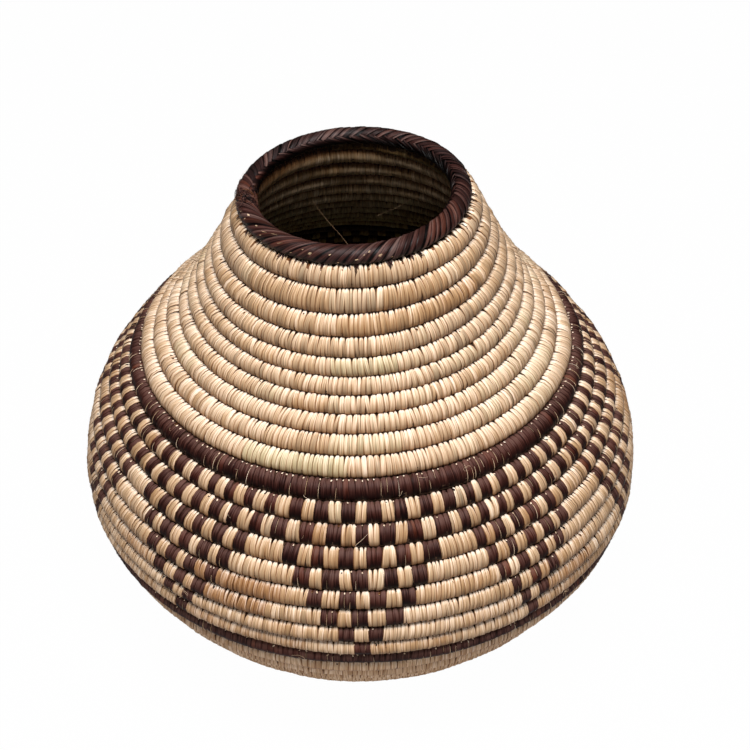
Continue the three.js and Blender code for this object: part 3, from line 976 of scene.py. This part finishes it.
def makeRim():
    rng = np.random.default_rng(55)
    core = makePiece("rim_core", [rimCore(96, 16, -0.25)], [rimLeaf])
    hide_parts("rim_coil")
    sides = [braidSide("outer", rng), braidSide("inner", rng)]
    strips = makePiece("rim_strips", sides, [rimLeaf])
    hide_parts("rim_braid")
    ends = makePiece("rim_hem", [hemEnds(rng)], [rimLeaf])
    curls = makePiece("rim_curls", knotCurls(knot["dark"], rng), [rimLeaf])
    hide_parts("rim_knot")
    pale = [rimSpecks(rng)] + knotArch() + knotCurls(knot["pale"], rng)
    pale = makePiece("rim_specks", pale, [naturalLeaf])
    for piece in (core, strips, ends, curls, pale):
        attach(piece, "root")


makeRim()
print("rim braided")

# loose ends of fibre, each from its root on the basket
loose = {
    "thickness": 0.22,
    "onWall": [  # angle, round and distance out of the root, then the bends from it in mm
        (-1.0, 24.05, 5.2, [(0.5, -0.8, 2), (3.2, -0.6, 5), (6.2, 0.6, 8.2)]),
        (2.6, 24.5, 5.2, [(-0.6, -1, -2), (-2.6, -1, -5), (-4, 0.6, -8)]),
        (156.0, 32.9, -5.2, [(-8, -5, -2.5), (-19, -8, -6)]),
        (166.5, 29.9, -5.2, [(1, -2, 4), (3, -3, 9)]),
        (116.5, 36.2, -4.6, [(-1.8, -0.6, 1.6), (-2.4, 0, 4.2), (-0.4, 0.2, 5.2), (0.6, 0, 2.4)]),
        (-42.0, 27.6, 5.2, [(-1.5, -1, 1), (-3, -0.6, 2.6), (-4.6, 0.4, 2.4)]),
    ],
    "onRim": [  # angle and turn in radians of the root, thickness, look, then the bends
        (-4.0, 1.9, 0.13, (0.5, 0.2, 0.4), [(-4, 6, 1.8), (-12, 17, 5), (-17, 25, 8)]),
        (-112.0, 0.1, 0.12, (0.75, 0.3, 0.0), [(-4, -4, -3), (-8, -12, -14), (-11, -22, -20)]),
    ],
    "curls": [  # angle, round and size
        (-12, 17.6, 3.4), (9.5, 17.4, 2.0), (-36, 19.6, 3.2), (44, 18.2, 2.4), (-52, 20.5, 2.2),
        (26, 26.8, 2.0), (-44, 24.8, 2.2), (36, 23.2, 2.4), (120, 22, 2.4), (-130, 20, 2.6),
        (170, 24, 2.2), (75, 27, 2.0)],
    "fuzz": 70,
    "fuzzRounds": (17, 27),
    "bandFuzz": (26.3, 27.1),  # every third one is on the edge of the upper dark band
}


def outwards(angle, rise):
    return np.array([math.sin(math.radians(angle)), -math.cos(math.radians(angle)), rise])


def looseFibres():
    rng = np.random.default_rng(91)
    fibres = []

    def lay(root, bends, thickness, look, corners=4):
        fibres.append(fibre([root] + [root + np.array(bend) for bend in bends], thickness, look, corners))

    for angle, rounds, across, bends in loose["onWall"]:
        thickness, look = (1.4, (0.65, 0.9, 0.0)) if across > 0 else (0.7, (0.5, 0.5, 0.3))
        lay(place(inWall(rounds, across), angle, rounds), bends, loose["thickness"] * thickness, look)
    for angle, turn, thickness, look, bends in loose["onRim"]:
        lay(rimPoint(angle, turn, 0.2), bends, thickness, look)
    for angle, rounds, size in loose["curls"]:
        out, up = outwards(angle, 0.2), np.array([0, 0, 1])
        over = np.array([-out[1], out[0], 0])
        bends = [size * (math.cos(a) * over + 0.6 * math.sin(a) * up) + out * (0.5 + 0.2 * a)
                 for a in np.linspace(-0.6, rng.uniform(3.4, 5.2), 7)]
        lay(place(inWall(rounds, 5.1), angle, rounds), bends, loose["thickness"] * 0.8, (0.5, 0.5, 0.0))
    for k in range(loose["fuzz"]):
        rounds = rng.uniform(*(loose["fuzzRounds"] if k % 3 else loose["bandFuzz"]))
        angle = rng.uniform(-180, 180)
        out = outwards(angle, 0.1)
        side = np.array([out[1], -out[0], 0]) * rng.normal(0, 1.0) + (0, 0, rng.normal(0, 1.2))
        length = rng.uniform(1.0, 2.6)
        bends = [out * 1.1 + side * 0.5 * length, out * rng.uniform(0.9, 1.6) + side * length]
        look = (rng.uniform(0.3, 0.8), rng.uniform(0.3, 1.0), 0.0)
        thickness = loose["thickness"] * rng.uniform(0.5, 0.9)
        lay(place(inWall(rounds, 5.0), angle, rounds), bends, thickness, look, 3)
    piece = makePiece("loose_fibres", fibres, [naturalLeaf])
    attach(piece, "root")


looseFibres()
print("loose fibres laid")

# the place where the photograph was taken from, in metres and degrees
camera = {
    "place": (0.0, -0.67366, 0.70435),
    "pitch": 40.08,
    "lens": 79.0,
    "shift": 0.01933,
}


def makeCamera():
    bpy.ops.object.camera_add(location=camera["place"], rotation=(math.radians(90 - camera["pitch"]), 0, 0))
    view = bpy.context.object
    view.data.sensor_width = 36
    view.data.lens = camera["lens"]
    view.data.shift_x = camera["shift"]
    view.data.clip_end = 20
    bpy.context.scene.camera = view


# a plain white studio: a soft lamp above the front, two low ones and a weak one that reaches into the mouth
studio = {
    "floorSize": 6.0,
    "paper": 0.6,
    "whiteShare": 0.988,
    "lamps": [  # place, aimed at, width, height, watts
        ((0.0, -0.45, 1.5), (0, 0, 0.12), 0.8, 0.5, 26),
        ((-0.75, -1.0, 0.18), (0, 0, 0.15), 0.9, 0.16, 0.8),
        ((0.75, -1.0, 0.18), (0, 0, 0.15), 0.9, 0.16, 0.8),
        ((0.0, -1.0, 0.8), (0, 0.04, 0.24), 0.3, 0.2, 0.45),
    ],
    "world": 0.05,
}


def makeStudio():
    bpy.ops.mesh.primitive_plane_add(size=studio["floorSize"], location=(0, 0, 0))
    floor = bpy.context.object
    floor.name = "floor"
    material, tree = newMaterial("floorWhite")
    tree.nodes.remove(tree.nodes["Principled BSDF"])
    paper = addNode(tree, "BsdfDiffuse", "BSDF", {"Color": (studio["paper"],) * 3 + (1,)})
    white = addNode(tree, "Emission", "Emission", {"Strength": 1.0})
    seen = addNode(tree, "LightPath", "Is Camera Ray", {})
    whiteShare = multiplied(tree, seen, studio["whiteShare"])
    blend = addNode(tree, "MixShader", "Shader", {"Fac": whiteShare, 1: paper, 2: white})
    feed(tree, tree.nodes["Material Output"], {"Surface": blend})
    floor.data.materials.append(material)

    for location, target, width, height, watts in studio["lamps"]:
        bpy.ops.object.light_add(type="AREA", location=location)
        lamp = bpy.context.object
        lamp.data.shape = "RECTANGLE"
        lamp.data.size = width
        lamp.data.size_y = height
        lamp.data.energy = watts
        way = np.array(target) - np.array(location)
        pitch = math.acos(-way[2] / np.linalg.norm(way))
        lamp.rotation_euler = (pitch, 0, math.atan2(way[1], way[0]) - math.pi / 2)

    world = bpy.data.worlds.new("studioAir")
    bpy.context.scene.world = world
    world.use_nodes = True
    tree = world.node_tree
    seen = addNode(tree, "LightPath", "Is Camera Ray", {})
    strength = addNode(tree, "MapRange", "Result", {"Value": seen, "To Min": studio["world"], "To Max": 1.0})
    feed(tree, tree.nodes["Background"], {"Color": (1, 1, 1, 1), "Strength": strength})


makeCamera()
makeStudio()
bpy.context.scene.view_settings.view_transform = "Standard"
print("camera and studio set")
